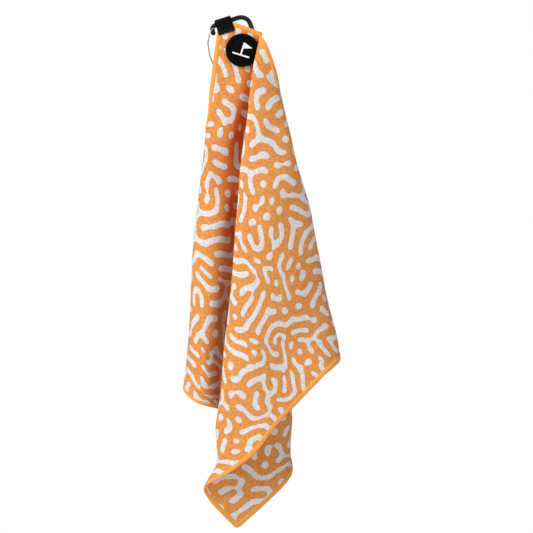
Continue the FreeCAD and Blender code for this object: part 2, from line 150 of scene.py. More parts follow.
INNER_FOLD = [
    (56, 0, 21.8, -3, 19.8), (62, 10, 22, -3, 6), (73, 25, 21, -4, -12), (85, 40, 21, -5, -30),
    (115, 89, 27, -4, -87), (139, 125, 31, -4, -129), (175, 180, 38, -5, -195),
    (225, 255, 45, -7, -280), (277, 333, 51, -8, -368), (316, 391, 57, -8, -440),
]
RIGHT_FOLD = [
    (140, 0, 46.4, -5, -55), (175, 12, 56, -6, -92), (215, 27, 64, -8, -131), (265, 44, 78, -10, -183),
    (320, 64, 88, -11, -239), (375, 83, 97, -12, -296), (420, 94, 111, -12, -343),
    (450, 102, 117, -12, -371),
]
RIGHT_BACK = [(375, 40, 92, 8, -286)]
FRONT_FOLD = [
    (146, 60, 16, -28, -94), (155, 45, 28, -25, -94), (164, 30, 40, -17, -93),
    (222, 115, 10, -42, -190), (236, 92, 30, -41, -188), (247, 73, 45, -35, -186),
    (256, 58, 60, -26, -184), (283, 175, 8, -52, -276), (300, 150, 30, -48, -276),
    (318, 122, 50, -40, -274), (334, 98, 68, -31, -272), (345, 239, 2, -58, -366),
    (366, 210, 26, -54, -366), (388, 179, 47, -45, -363), (412, 146, 73, -37, -360),
    (430, 121, 96, -28, -360),
]
LEFT_PANEL = [
    (30, 122, -22, -3, -95), (45, 116, -9, 2, -97), (60, 110, 0, 16, -98), (90, 99, 20, 27, -92),
    (50, 218, -38, -7, -192), (74, 210, -19, -4, -198), (90, 205, -10, 8, -201),
    (104, 201, -2, 21, -204), (130, 193, 22, 33, -204), (155, 186, 42, 17, -200),
    (76, 305, -45, -9, -288), (102, 297, -27, -5, -296), (118, 291, -18, 8, -299),
    (133, 286, -10, 21, -302), (160, 277, 14, 38, -304), (190, 267, 41, 31, -298),
    (210, 260, 52, 11, -290), (102, 389, -50, -11, -376), (133, 379, -32, -5, -387),
    (150, 373, -23, 9, -391), (168, 368, -14, 24, -394), (200, 357, 15, 42, -396),
    (232, 347, 43, 39, -390), (256, 340, 57, 14, -380),
]
FLAT_CORNER = [
    (0, 0), (15, 15), (25, 0), (50, 0), (52, 12), (50, 25), (33, 29), (33, 55), (0, 30), (0, 60),
    (15, 50), (15, 80), (0, 89), (40, 70),
]
LINES = [RIGHT_HEM, LEFT_HEM, LEFT_FOLD, LOWER_LEFT_HEM, LOWER_RIGHT_HEM, RIDGE, INNER_FOLD, RIGHT_FOLD]
PANELS = [RIGHT_BACK, FRONT_FOLD, LEFT_PANEL]


# ---------------------------------------------------------------- the towel's shape

def on_flat_corner(cut):
    """Where points of the cut towel lie on the flat corner that the caps hold."""
    across = TIP * MM + cut[..., :1] * ALONG_U + cut[..., 1:] * ALONG_V
    depth = np.full(across.shape[:-1], CLOTH_MID)
    return np.stack([across[..., 0], depth, across[..., 1]], -1)


def halved(line):
    """The same run of points with one added between every two, on a smooth curve."""
    ends = np.concatenate([2 * line[:1] - line[1:2], line, 2 * line[-1:] - line[-2:-1]])
    more = np.zeros((2 * len(line) - 1,) + line.shape[1:])
    more[::2] = line
    more[1::2] = (9 * (ends[1:-2] + ends[2:-1]) - ends[:-3] - ends[3:]) / 16
    return more


def finer(grid):
    """The same sheet with a point added between every two, both ways."""
    return halved(halved(grid).transpose(1, 0, 2)).transpose(1, 0, 2)


def fold_points():
    """(places on the cut towel, places in space) of every fold point, in metres."""
    lines = [halved(halved(np.array(line, float))) for line in LINES]
    placed = np.concatenate(lines + PANELS) * MM
    corner = np.array(FLAT_CORNER, float) * MM
    cut = np.concatenate([corner, placed[:, :2]])
    space = np.concatenate([on_flat_corner(corner), placed[:, 2:] + (0, CLOTH_MID, 0)])
    return cut, space


def spread(a, b):
    """Thin-plate kernel between two sets of points."""
    square = ((a[:, None] - b[None]) ** 2).sum(-1) / SIDE ** 2
    return square * np.log(np.maximum(square, 1e-12))


def thin_plate(known, values, wanted):
    """The smoothest sheet through the known values, at the wanted points."""
    count = len(known)
    plane = np.c_[np.ones(count), known]
    kernel = spread(known, known) + STIFFNESS * np.eye(count)
    left = np.block([[kernel, plane], [plane.T, np.zeros((3, 3))]])
    weight = np.linalg.solve(left, np.r_[values, np.zeros((3, values.shape[1]))])
    return spread(wanted, known) @ weight[:count] + np.c_[np.ones(len(wanted)), wanted] @ weight[count:]


def cut_grid(cells):
    """Evenly spaced points of the cut towel, in metres."""
    line = np.linspace(0, SIDE, cells + 1)
    return np.stack(np.meshgrid(line, line, indexing="ij"), -1)


class Cloth:
    """A square grid of points joined by threads, which hardly stretch but give way to a push."""

    def __init__(self, place, held):
        self.place = place
        self.before = place.copy()
        self.cells = place.shape[0] - 1
        self.gap = SIDE / self.cells
        self.loose = (~held).astype(float)

    def tie(self, first, second, length, pull, push):
        """Moves joined points so that they come nearer to their right distance."""
        a = self.place[first]
        b = self.place[second]
        share = self.loose[first] + self.loose[second]
        apart = b - a
        reach = np.sqrt((apart ** 2).sum(-1)) + 1e-12
        over = reach - length
        move = np.where(over > 0, pull, push) * over / reach / np.maximum(share, 1)
        a += (move * self.loose[first])[..., None] * apart
        b -= (move * self.loose[second])[..., None] * apart

    def tie_lines(self, pull, push):
        """Ties every point to the next one along both thread directions."""
        every = slice(None)
        for start in (0, 1):
            one = slice(start, self.cells, 2)
            other = slice(start + 1, self.cells + 1, 2)
            self.tie((one, every), (other, every), self.gap, pull, push)
            self.tie((every, one), (every, other), self.gap, pull, push)

    def tie_bias(self, pull, push):
        """Ties the cells' diagonals, which are much softer than the threads."""
        low = slice(0, self.cells)
        high = slice(1, self.cells + 1)
        for start in (0, 1):
            one = slice(start, self.cells, 2)
            other = slice(start + 1, self.cells + 1, 2)
            self.tie((one, low), (other, high), self.gap * math.sqrt(2), pull, push)
            self.tie((one, high), (other, low), self.gap * math.sqrt(2), pull, push)

    def even_out(self, amount):
        """Bending: each point moves a little towards the middle of its neighbours."""
        bend = np.zeros_like(self.place)
        bend[1:-1] += (self.place[2:] + self.place[:-2]) / 2 - self.place[1:-1]
        bend[:, 1:-1] += (self.place[:, 2:] + self.place[:, :-2]) / 2 - self.place[:, 1:-1]
        self.place += amount * bend * self.loose[..., None]

    def fall(self, steps, goal, goal_pull):
        """Lets the cloth settle under gravity while it is drawn to its fold points."""
        drop = np.array([0, 0, -GRAVITY * TIME_STEP ** 2])
        free = self.loose[..., None]
        for _ in range(steps):
            speed = (self.place - self.before) * SPEED_KEPT
            self.before = self.place.copy()
            self.place += (speed + drop) * free
            self.place += (goal - self.place) * goal_pull[..., None] * free
            for _ in range(ROUNDS):
                self.tie_lines(*THREAD)
                self.tie_bias(*BIAS)
            self.even_out(BENDING)


def near_points(cut, points, reach):
    """1 at a fold point, falling to 0 away from them all."""
    near = np.zeros(cut.shape[:-1])
    for point in points:
        square = ((cut - point) ** 2).sum(-1) / reach ** 2
        near = np.maximum(near, np.exp(-square))
    return near


def held_flat(cut):
    """True where the caps and the strap hold the towel flat."""
    from_button = np.hypot(*(np.moveaxis(cut, -1, 0) - BUTTON_AT[:, None, None] * MM))
    return (from_button < BUTTON_HOLD * MM) | (cut.sum(-1) < STRAP_HOLD * MM)


def settle(goal, cut, points, start, steps):
    """Runs the cloth from start towards the goal shape."""
    held = held_flat(cut)
    place = np.where(held[..., None], on_flat_corner(cut), start)
    cloth = Cloth(place, held)
    cloth.fall(steps, goal, POINT_PULL * near_points(cut, points, POINT_REACH) + SHEET_PULL)
    return cloth.place


def hang_towel():
    """The settled towel as a grid of points in space."""
    points, space = fold_points()
    fine = cut_grid(CELLS)
    goal = thin_plate(points, space, fine.reshape(-1, 2)).reshape(fine.shape[:2] + (3,))
    coarse = goal[::4, ::4]
    shape = settle(coarse, fine[::4, ::4], points, coarse, COARSE_STEPS)
    middle = goal[::2, ::2]
    shape = settle(middle, fine[::2, ::2], points, middle + finer(shape - coarse), MIDDLE_STEPS)
    moved = goal + finer(shape - middle)
    return np.where(held_flat(fine)[..., None], on_flat_corner(fine), moved)


class Sheet:
    """The hung towel: its middle surface and its normal at any place of the cut towel."""

    def __init__(self, grid):
        self.grid = grid
        along = np.gradient(grid, axis=0)
        across = np.gradient(grid, axis=1)
        normal = np.cross(across, along)
        self.normal = normal / np.linalg.norm(normal, axis=-1, keepdims=True)

    def sample(self, values, cut):
        """Values at places of the cut towel, by straight interpolation, and beyond the edge too."""
        last = values.shape[0] - 1
        spot = cut / SIDE * last
        cell = np.clip(np.floor(spot).astype(int), 0, last - 1)
        part = spot - cell
        i, j = cell[..., 0], cell[..., 1]
        a, b = part[..., :1], part[..., 1:]
        low = values[i, j] * (1 - b) + values[i, j + 1] * b
        high = values[i + 1, j] * (1 - b) + values[i + 1, j + 1] * b
        return low * (1 - a) + high * a

    def at(self, cut, height):
        """Points in space at a height over the towel's front side."""
        normal = self.sample(self.normal, cut)
        normal /= np.linalg.norm(normal, axis=-1, keepdims=True)
        return self.sample(self.grid, cut) + normal * height


def rounded(cut):
    """The cut grid with its four square corners pressed round."""
    out = cut.copy()
    middle = SIDE / 2
    radius = np.where(cut.sum(-1, keepdims=True) < middle, TIP_ROUND, CORNER_ROUND)
    past = np.abs(cut - middle) - (middle - radius)
    corner = (past > 0).all(-1)
    radius = radius[corner]
    share = np.clip(past[corner] / radius, 0, 1)
    pressed = share * np.sqrt(1 - share[:, ::-1] ** 2 / 2)
    side = np.sign(cut[corner] - middle)
    out[corner] = middle + side * (middle - radius + pressed * radius)
    return out


# ---------------------------------------------------------------- mesh helpers

def mesh_object(name, points, faces, material, smooth=True):
    """A new object with its mesh, one material and smooth shading."""
    mesh = bpy.data.meshes.new(name)
    corners = [[int(k) for k in face] for face in faces]
    mesh.from_pydata(np.asarray(points).reshape(-1, 3).tolist(), [], corners)
    mesh.polygons.foreach_set("use_smooth", [smooth] * len(mesh.polygons))
    mesh.materials.append(material)
    made = bpy.data.objects.new(name, mesh)
    bpy.context.scene.collection.objects.link(made)
    return made


def grid_faces(rows, columns, first=0, loop_rows=False, loop_columns=False):
    """Quads of a grid of points numbered row by row."""
    i = np.arange(rows if loop_rows else rows - 1)
    j = np.arange(columns if loop_columns else columns - 1)
    i, j = np.meshgrid(i, j, indexing="ij")
    down = (i + 1) % rows
    right = (j + 1) % columns
    quads = np.stack([i * columns + j, down * columns + j, down * columns + right, i * columns + right], -1)
    return quads.reshape(-1, 4) + first


def rim_order(count):
    """The points round the edge of a count by count grid, in order, as rows of i and j."""
    run = np.arange(count - 1)
    end = np.full(count - 1, count - 1)
    zero = np.zeros(count - 1, int)
    back = count - 1 - run
    return np.concatenate([np.c_[run, zero], np.c_[end, run], np.c_[back, end], np.c_[zero, back]])


def squiggles(cells, pitch, seed, share):
    """A seamless field of rounded squiggles and dots, above 0 on a share of the cloth.

    A few steps of a growth that favours one pitch turn seeded noise into stripes and dots. Blurring
    the hard shapes and cutting them again rounds their ends and evens their widths.
    """
    field = np.random.default_rng(seed).standard_normal((cells, cells)) * 0.3
    turns = np.fft.fftfreq(cells, SIDE / cells)
    square = turns[:, None] ** 2 + turns[None] ** 2
    growth = 0.9 - (1 - square * pitch ** 2) ** 2
    for _ in range(12):
        curved = np.fft.fft2(0.5 * field ** 2 - field ** 3)
        field = np.real(np.fft.ifft2((np.fft.fft2(field) + 0.5 * curved) / (1 - 0.5 * growth)))
    blur = np.exp(-2 * (math.pi * pitch / 8) ** 2 * square)
    for _ in range(2):
        shapes = np.tanh((field - np.quantile(field, 1 - share)) * 2.5 / field.std())
        field = np.real(np.fft.ifft2(np.fft.fft2(shapes) * blur))
    return field - np.quantile(field, 1 - share)


def make_towel(sheet, material):
    """The printed cloth: front and back layers, a closed rim, and the print as a smooth attribute."""
    count = CELLS + 1
    cut = rounded(cut_grid(CELLS))
    layers = [sheet.at(cut, height * CLOTH_THICK / 2) for height in (1, -1)]
    front = grid_faces(count, count)
    back = grid_faces(count, count, first=count * count)[:, ::-1]
    rim = rim_order(count) @ (count, 1)
    turned = np.roll(rim, -1)
    edge = np.stack([turned, rim, rim + count * count, turned + count * count], -1)
    towel = mesh_object("towel_sheet", layers, np.concatenate([front, back, edge]), material)
    field = squiggles(CELLS, PRINT_PITCH, PRINT_SEED, WHITE_SHARE)
    wrapped = np.pad(field, ((0, 1), (0, 1)), mode="wrap")
    print_field = towel.data.attributes.new("print", "FLOAT", "POINT")
    print_field.data.foreach_set("value", np.concatenate([wrapped.ravel(), wrapped.T.ravel()]))
    flat = np.concatenate([cut.reshape(-1, 2)] * 2)
    loops = np.zeros(len(towel.data.loops), int)
    towel.data.loops.foreach_get("vertex_index", loops)
    threads = towel.data.uv_layers.new(name="threads")
    threads.data.foreach_set("uv", (flat[loops] / SIDE).ravel())
    return towel


def rim_path(inset, spacing):
    """Points round the cut towel's rounded edge, at an even spacing and an inset."""
    points = []
    corners = [((1, 0), -90, CORNER_ROUND), ((1, 1), 0, CORNER_ROUND), ((0, 1), 90, CORNER_ROUND),
               ((0, 0), 180, TIP_ROUND)]
    for far, start, outer_radius in corners:
        x, y = (SIDE - outer_radius if end else outer_radius for end in far)
        radius = outer_radius - inset
        turn_steps = max(3, int(radius * math.pi / 2 / spacing) + 1)
        for k in range(turn_steps + 1):
            angle = math.radians(start + 90 * k / turn_steps)
            points.append((x + radius * math.cos(angle), y + radius * math.sin(angle)))
    loop = np.array(points)
    runs = np.linalg.norm(np.roll(loop, -1, 0) - loop, axis=1)
    total = runs.sum()
    stations = np.concatenate([[0], np.cumsum(runs)])
    closed = np.concatenate([loop, loop[:1]])
    wanted = np.arange(0, total, total / round(total / spacing))
    return np.stack([np.interp(wanted, stations, closed[:, k]) for k in (0, 1)], -1)


def inward(path):
    """The unit direction into the towel at each point of a rim path."""
    ahead = np.roll(path, -1, 0) - np.roll(path, 1, 0)
    ahead /= np.linalg.norm(ahead, axis=1, keepdims=True)
    return np.stack([-ahead[:, 1], ahead[:, 0]], -1)


def make_hem(sheet, material):
    """The binding folded over the edge: a flat band on both sides, with a round outer edge."""
    path = rim_path(0.0, HEM_SPACING)
    into = inward(path)
    lines = [sheet.at(path + into * across * MM, height * MM) for across, height in HEM_PROFILE]
    faces = grid_faces(len(path), len(HEM_PROFILE), loop_rows=True)
    return mesh_object("hem_band", np.stack(lines, 1), faces, material)


def make_hem_thread(sheet, material):
    """The seam that holds the binding: one short stitch after another on both sides."""
    path = rim_path(SEAM_INSET, SEAM_PITCH)
    ahead = np.roll(path, -1, 0) - path
    tilt = SEAM_GAP * inward(path) * SEAM_PITCH
    starts = path + ahead * SEAM_GAP + tilt
    ends = path + ahead * (1 - SEAM_GAP) - tilt
    points, faces = [], []
    for side in (1, -1):
        for start, end in zip(starts, ends):
            a = sheet.at(start, side * SEAM_HEIGHT)
            b = sheet.at(end, side * SEAM_HEIGHT)
            stitch(points, faces, a, b, SEAM_THREAD)
    return mesh_object("hem_thread", np.array(points), faces, material)


def stitch(points, faces, start, end, radius, sides=6):
    """Adds one thread stitch between two points: round, thin at the ends and full in the middle."""
    along = end - start
    length = np.linalg.norm(along)
    along = along / length
    helper = np.array([0.0, 0.0, 1.0]) if abs(along[2]) < 0.9 else np.array([1.0, 0.0, 0.0])
    across = np.cross(along, helper)
    across /= np.linalg.norm(across)
    up = np.cross(along, across)
    first = len(points)
    rings = [(0.0, 0.35), (0.15, 0.85), (0.5, 1.0), (0.85, 0.85), (1.0, 0.35)]
    for part, swell in rings:
        for k in range(sides):
            angle = 2 * math.pi * k / sides
            off = across * math.cos(angle) + up * math.sin(angle)
            points.append(start + along * length * part + off * radius * swell)
    for ring in range(len(rings) - 1):
        for k in range(sides):
            a = first + ring * sides + k
            b = first + ring * sides + (k + 1) % sides
            faces.append((a, b, b + sides, a + sides))
    faces.append(tuple(first + k for k in reversed(range(sides))))
    last = first + (len(rings) - 1) * sides
    faces.append(tuple(last + k for k in range(sides)))


# ---------------------------------------------------------------- the strap

hinge = next(j for j in frame["record"]["behaviour"]["joints"] if j["name"] == "carabiner_swing")
BAR_AXIS = np.array(hinge["axis"])  # along the carabiner's top bar
LOOP_UP = np.array([-BAR_AXIS[2], 0.0, BAR_AXIS[0]])
STRAP_WIDTH = 20.4 * MM
STRAP_THICK = 1.6 * MM
STRAP_LEG = 13.5 * MM
STRAP_BACK = -2.0 * MM  # the rear leg's middle line, which lies on the cloth's rear face
STRAP_RIBS = 17  # across its width
WEFT_PITCH = 1.1 * MM
RIB_DEPTH = 0.14 * MM
STITCH_ROWS = (-12.4 * MM, -10.2 * MM)  # up from the loop's middle
STITCH_PITCH = 3.2 * MM
STITCH_REACH = 1.25 * MM  # half a stitch's length
STITCH_LIFT = 0.02 * MM  # off the webbing
STITCH_THREAD = 0.32 * MM  # radius
LOOP_RADIUS = 5.0 * MM  # of the webbing's middle line
LOOP_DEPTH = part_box("strap_loop")[0][1] + LOOP_RADIUS + STRAP_THICK / 2
LOOP_MIDDLE = np.array([hinge["pos_m"][0], LOOP_DEPTH, hinge["pos_m"][2]])


def in_loop(across, depth, up):
    """A point of the strap's own frame: along the bar, back and up from the loop's middle."""
    return LOOP_MIDDLE + BAR_AXIS * across + np.array([0.0, 1.0, 0.0]) * depth + LOOP_UP * up


def strap_line():
    """(depth, up) of the webbing's middle line, from the front leg's end over the bar to the rear's."""
    front = [(-LOOP_RADIUS, up) for up in np.linspace(-STRAP_LEG, 0, 35)]
    crown = [(-LOOP_RADIUS * math.cos(a), LOOP_RADIUS * math.sin(a)) for a in np.linspace(0, math.pi, 33)]
    slope = [(LOOP_RADIUS + (STRAP_BACK - LOOP_RADIUS) * t ** 2 * (3 - 2 * t), (-1.2 - 7.8 * t) * MM)
             for t in np.linspace(0, 1, 18)]
    rear = [(STRAP_BACK, up) for up in np.linspace(-9.5 * MM, -STRAP_LEG, 16)]
    return np.array(front + crown[1:] + slope + rear)


def webbing_height(across, along):
    """The webbing's half thickness at a place: ribs crossed by weft, thin at the selvedges."""
    selvedge = max(1 - abs(across) ** 18, 0) ** 0.5
    rib = math.sin(across * math.pi * STRAP_RIBS) ** 2
    shift = math.pi / 2 if int((across + 1) * STRAP_RIBS) % 2 else 0
    weft = math.sin(along / WEFT_PITCH * math.pi + shift) ** 2
    return STRAP_THICK / 2 * selvedge - RIB_DEPTH * (1 - rib * weft)


def make_strap(material):
    """Ribbed webbing folded over the bar, with soft selvedges."""
    line = strap_line()
    ahead = np.gradient(line, axis=0)
    ahead /= np.linalg.norm(ahead, axis=1, keepdims=True)
    normal = np.stack([-ahead[:, 1], ahead[:, 0]], -1)
    run = np.concatenate([[0], np.cumsum(np.linalg.norm(np.diff(line, axis=0), axis=1))])
    columns = np.linspace(-1, 1, 69)
    loops = []
    for k in range(len(line)):
        outline = []
        for side in (1, -1):
            for c in columns * side:
                height = side * webbing_height(c, run[k])
                depth, up = line[k] + normal[k] * height
                outline.append(in_loop(c * STRAP_WIDTH / 2, depth, up))
        loops.append(outline)
    points = np.array(loops)
    faces = grid_faces(len(line), points.shape[1], loop_columns=True).tolist()
    around = points.shape[1]
    faces.append(list(range(around)))
    faces.append([(len(line) - 1) * around + k for k in reversed(range(around))])
    return mesh_object("strap_webbing", points, faces, material)


def make_strap_thread(material):
    """Two rows of stitches on the front leg and two on the rear leg."""
    points, faces = [], []
    front = -LOOP_RADIUS - STRAP_THICK / 2
    rear = STRAP_BACK + STRAP_THICK / 2
    for depth in (front - STITCH_LIFT, rear + STITCH_LIFT):
        for up in STITCH_ROWS:
            for k in range(-2, 3):
                middle = k * STITCH_PITCH
                start = in_loop(middle - STITCH_REACH, depth, up)
                end = in_loop(middle + STITCH_REACH, depth, up)
                stitch(points, faces, start, end, STITCH_THREAD, sides=8)
    return mesh_object("strap_thread", np.array(points), faces, material)


# ---------------------------------------------------------------- materials

class Nodes:
    """A new material with short calls for its nodes."""

    def __init__(self, name):
        self.material = bpy.data.materials.new(name)
        self.material.use_nodes = True
        self.tree = self.material.node_tree
        self.shader = self.tree.nodes["Principled BSDF"]

    def add(self, kind, **settings):
        """A node of one kind, with its settings."""
        node = self.tree.nodes.new(kind)
        for key, value in settings.items():
            if key in node.inputs and not hasattr(node, key):
                node.inputs[key].default_value = value
            else:
                setattr(node, key, value)
        return node

    def link(self, out, into):
        """Joins an output to an input."""
        self.tree.links.new(out, into)

    def math(self, operation, a, b=None):
        """A Math node of numbers or sockets."""
        node = self.add("ShaderNodeMath", operation=operation)
        for socket, value in zip(node.inputs, (a, b)):
            if value is None:
                continue
            if isinstance(value, (int, float)):
                socket.default_value = value
            else:
                self.link(value, socket)
        return node.outputs[0]

    def noise(self, scale, detail=2.0, rough=0.5):
        """Noise that is fixed to the object, with scale features to the metre."""
        node = self.add("ShaderNodeTexNoise")
        node.inputs["Scale"].default_value = scale
        node.inputs["Detail"].default_value = detail
        node.inputs["Roughness"].default_value = rough
        self.link(self.add("ShaderNodeTexCoord").outputs["Object"], node.inputs["Vector"])
        return node.outputs["Fac"]

    def mix(self, amount, first, second):
        """A colour mix of colours or sockets."""
        node = self.add("ShaderNodeMix", data_type="RGBA", blend_type="MIX")
        for socket, value in zip((node.inputs[0], node.inputs[6], node.inputs[7]), (amount, first, second)):
            if isinstance(value, (int, float)):
                socket.default_value = value
            elif isinstance(value, tuple):
                socket.default_value = value + (1.0,)
            else:
                self.link(value, socket)
        return node.outputs[2]

    def map(self, value, low, high, to_low, to_high):
        """A smooth step of a socket from one range to another."""
        node = self.add("ShaderNodeMapRange", interpolation_type="SMOOTHSTEP")
        self.link(value, node.inputs["Value"])
        for key, number in zip(("From Min", "From Max", "To Min", "To Max"), (low, high, to_low, to_high)):
            node.inputs[key].default_value = number
        return node.outputs["Result"]

    def bump(self, height, depth, strength):
        """Fine relief on the shader's normal, on top of the real shape."""
        node = self.add("ShaderNodeBump")
        node.inputs["Strength"].default_value = strength
        node.inputs["Distance"].default_value = depth
        self.link(height, node.inputs["Height"])
        self.link(node.outputs["Normal"], self.shader.inputs["Normal"])

    def set(self, **values):
        """Sets or links the shader's inputs, named with _ for each space."""
        for key, value in values.items():
            socket = self.shader.inputs[key.replace("_", " ")]
            if isinstance(value, tuple):
                socket.default_value = value + (1.0,)
            elif isinstance(value, (int, float)):
                socket.default_value = value
            else:
                self.link(value, socket)


# Linear colours. The cloth's two darker ones are painted shade in the weave's hollows, mixed with random
# mottle; HEM_DEEP is the binding's darker rib tone.
ORANGE = (0.845, 0.370, 0.105)
ORANGE_HOLLOW_SHADE_AND_MOTTLE = (0.610, 0.200, 0.038)
ORANGE_PAINTED_FOLD_SHADE = (0.720, 0.130, 0.012)  # painted shade: the deeper orange where cloth lies close over cloth
WHITE = (0.820, 0.805, 0.800)
WHITE_HOLLOW_SHADE_AND_MOTTLE = (0.580, 0.560, 0.555)
HEM = (0.930, 0.400, 0.075)
HEM_DEEP = (0.760, 0.270, 0.040)
WAFFLE_PITCH = 2.6 * MM
PAINTED_FOLD_SHADE_REACH = 60 * MM  # how near other cloth must be for the painted fold shade to deepen the orange
PAINTED_GROOVE_SHADE_REACH = 2.5 * MM  # how near other rubber must be for the painted shade in the cap's grooves


def cloth_material():
    """Printed waffle microfibre: square cells, a white print, a soft nap, and painted shade in the weave's
    hollows and in folds.
    """
    make = Nodes("waffle_cloth")
    uv = make.add("ShaderNodeUVMap", uv_map="threads").outputs["UV"]
    split = make.add("ShaderNodeSeparateXYZ")
    make.link(uv, split.inputs[0])
    cells = SIDE / WAFFLE_PITCH
    u = make.math("SINE", make.math("MULTIPLY", split.outputs[0], cells * math.pi))
    v = make.math("SINE", make.math("MULTIPLY", split.outputs[1], cells * math.pi))
    hollow = make.math("MULTIPLY", make.math("ABSOLUTE", u), make.math("ABSOLUTE", v))
    fuzz = make.noise(1400, detail=3.0, rough=0.7)
    mottle = make.noise(420, detail=2.0)
    shade = make.noise(9, detail=2.0)
    print_field = make.add("ShaderNodeAttribute", attribute_name="print").outputs["Fac"]
    ragged = make.math("ADD", print_field, make.math("MULTIPLY", make.math("SUBTRACT", fuzz, 0.5), 0.05))
    white = make.map(ragged, -0.06, 0.06, 0.0, 1.0)
    # How far the colour moves to its darker one: painted shade in the waffle's hollows, plus random mottle
    # and broad tone.
    depth = make.math("ADD", make.math("MULTIPLY", hollow, 0.35), make.map(mottle, 0.25, 0.75, 0.0, 0.75))
    depth = make.math("ADD", depth, make.math("MULTIPLY", make.math("SUBTRACT", shade, 0.5), 0.5))
    # Painted shade: an occlusion probe deepens the orange where cloth lies close over cloth.
    open_air = make.add("ShaderNodeAmbientOcclusion", samples=8)
    open_air.inputs["Distance"].default_value = PAINTED_FOLD_SHADE_REACH
    painted_fold_shade = make.map(open_air.outputs["AO"], 0.25, 0.85, 1.0, 0.0)
    orange = make.mix(painted_fold_shade, make.mix(depth, ORANGE, ORANGE_HOLLOW_SHADE_AND_MOTTLE), ORANGE_PAINTED_FOLD_SHADE)
    pale = make.mix(depth, WHITE, WHITE_HOLLOW_SHADE_AND_MOTTLE)
    colour = make.mix(white, orange, pale)
    rough = make.map(mottle, 0.3, 0.7, 0.82, 0.95)
    make.set(Base_Color=colour, Roughness=rough, Sheen_Weight=0.18, Sheen_Roughness=0.45,
             Specular_IOR_Level=0.2)
    height = make.math("ADD", make.math("MULTIPLY", hollow, -1.0), make.math("MULTIPLY", fuzz, 0.5))
    make.bump(height, 0.35 * MM, 0.7)
    return make.material


def hem_material():
    """Bright knitted binding with fine ribs across it."""
    make = Nodes("hem_binding_knit")
    fine = make.noise(1500, detail=3.0, rough=0.7)
    broad = make.noise(60, detail=2.0)
    wave = make.add("ShaderNodeTexWave", wave_type="BANDS", bands_direction="DIAGONAL")
    wave.inputs["Scale"].default_value = 330
    wave.inputs["Distortion"].default_value = 1.5
    make.link(make.add("ShaderNodeTexCoord").outputs["Object"], wave.inputs["Vector"])
    ribs = make.math("MULTIPLY", wave.outputs["Fac"], 0.3)
    depth = make.math("ADD", ribs, make.math("MULTIPLY", broad, 0.4))
    make.set(Base_Color=make.mix(depth, HEM, HEM_DEEP), Roughness=make.map(fine, 0.3, 0.7, 0.65, 0.85),
             Sheen_Weight=0.15, Sheen_Roughness=0.4, Specular_IOR_Level=0.25)
    make.bump(make.math("ADD", wave.outputs["Fac"], make.math("MULTIPLY", fine, 0.6)), 0.2 * MM, 0.6)
    return make.material


def thread_material(name, light, dark, rough):
    """Twisted sewing thread."""
    make = Nodes(name)
    wave = make.add("ShaderNodeTexWave", wave_type="BANDS", bands_direction="DIAGONAL")
    wave.inputs["Scale"].default_value = 900
    make.link(make.add("ShaderNodeTexCoord").outputs["Object"], wave.inputs["Vector"])
    fine = make.noise(2500)
    make.set(Base_Color=make.mix(make.math("MULTIPLY", wave.outputs["Fac"], 0.6), light, dark),
             Roughness=make.map(fine, 0.3, 0.7, rough - 0.08, rough + 0.08), Specular_IOR_Level=0.35)
    make.bump(wave.outputs["Fac"], 0.06 * MM, 0.6)
    return make.material


def webbing_material():
    """Black nylon webbing, a little worn to grey on its high threads."""
    make = Nodes("black_webbing")
    fine = make.noise(2200, detail=3.0, rough=0.7)
    worn = make.map(make.noise(180, detail=3.0), 0.5, 0.85, 0.0, 1.0)
    make.set(Base_Color=make.mix(worn, (0.0028, 0.0028, 0.0032), (0.014, 0.014, 0.015)),
             Roughness=make.map(fine, 0.3, 0.7, 0.6, 0.85), Specular_IOR_Level=0.07)
    make.bump(fine, 0.08 * MM, 0.7)
    return make.material


def rubber_material():
    """Satin black moulded rubber with a fine spark-eroded grain and painted shade in its grooves."""
    make = Nodes("black_rubber")
    grain = make.noise(2600, detail=3.0, rough=0.8)
    specks = make.map(make.noise(1500, detail=1.0), 0.62, 0.72, 0.0, 1.0)
    dust = make.map(make.noise(90, detail=4.0), 0.45, 0.8, 0.0, 0.5)
    # Painted shade: an occlusion probe darkens the base colour in the cap's grooves.
    open_air = make.add("ShaderNodeAmbientOcclusion", samples=8)
    open_air.inputs["Distance"].default_value = PAINTED_GROOVE_SHADE_REACH
    painted_groove_shade = make.map(open_air.outputs["AO"], 0.55, 0.98, 1.0, 0.0)
    base = make.mix(dust, (0.0028, 0.0028, 0.0030), (0.0050, 0.0050, 0.0054))
    base = make.mix(specks, base, (0.010, 0.010, 0.011))
    make.set(Base_Color=make.mix(painted_groove_shade, base, (0.0003, 0.0003, 0.0003)),
             Roughness=make.map(grain, 0.3, 0.7, 0.28, 0.42), Specular_IOR_Level=0.035)
    make.bump(make.math("ADD", grain, specks), 0.07 * MM, 0.8)
    return make.material


def print_material():
    """White rubber print with a faint grain and slightly greyed by touch."""
    make = Nodes("white_print")
    grain = make.noise(1800, detail=2.0)
    grey = make.map(make.noise(160, detail=3.0), 0.4, 0.8, 0.0, 0.5)
    make.set(Base_Color=make.mix(grey, (0.86, 0.86, 0.85), (0.66, 0.66, 0.65)),
             Roughness=make.map(grain, 0.3, 0.7, 0.45, 0.62))
    make.bump(grain, 0.04 * MM, 0.5)
    return make.material


def painted_metal_material():
    """Satin black coating on the carabiner, rubbed a little brighter here and there."""
    make = Nodes("black_coated_metal")
    peel = make.noise(700, detail=2.0)
    rub = make.map(make.noise(130, detail=4.0, rough=0.6), 0.58, 0.78, 0.0, 1.0)
    make.set(Base_Color=make.mix(rub, (0.003, 0.003, 0.0035), (0.012, 0.012, 0.013)),
             Roughness=make.map(peel, 0.3, 0.7, 0.22, 0.36), Specular_IOR_Level=0.3, Coat_Weight=0.12,
             Coat_Roughness=0.2)
    make.bump(peel, 0.03 * MM, 0.35)
    return make.material


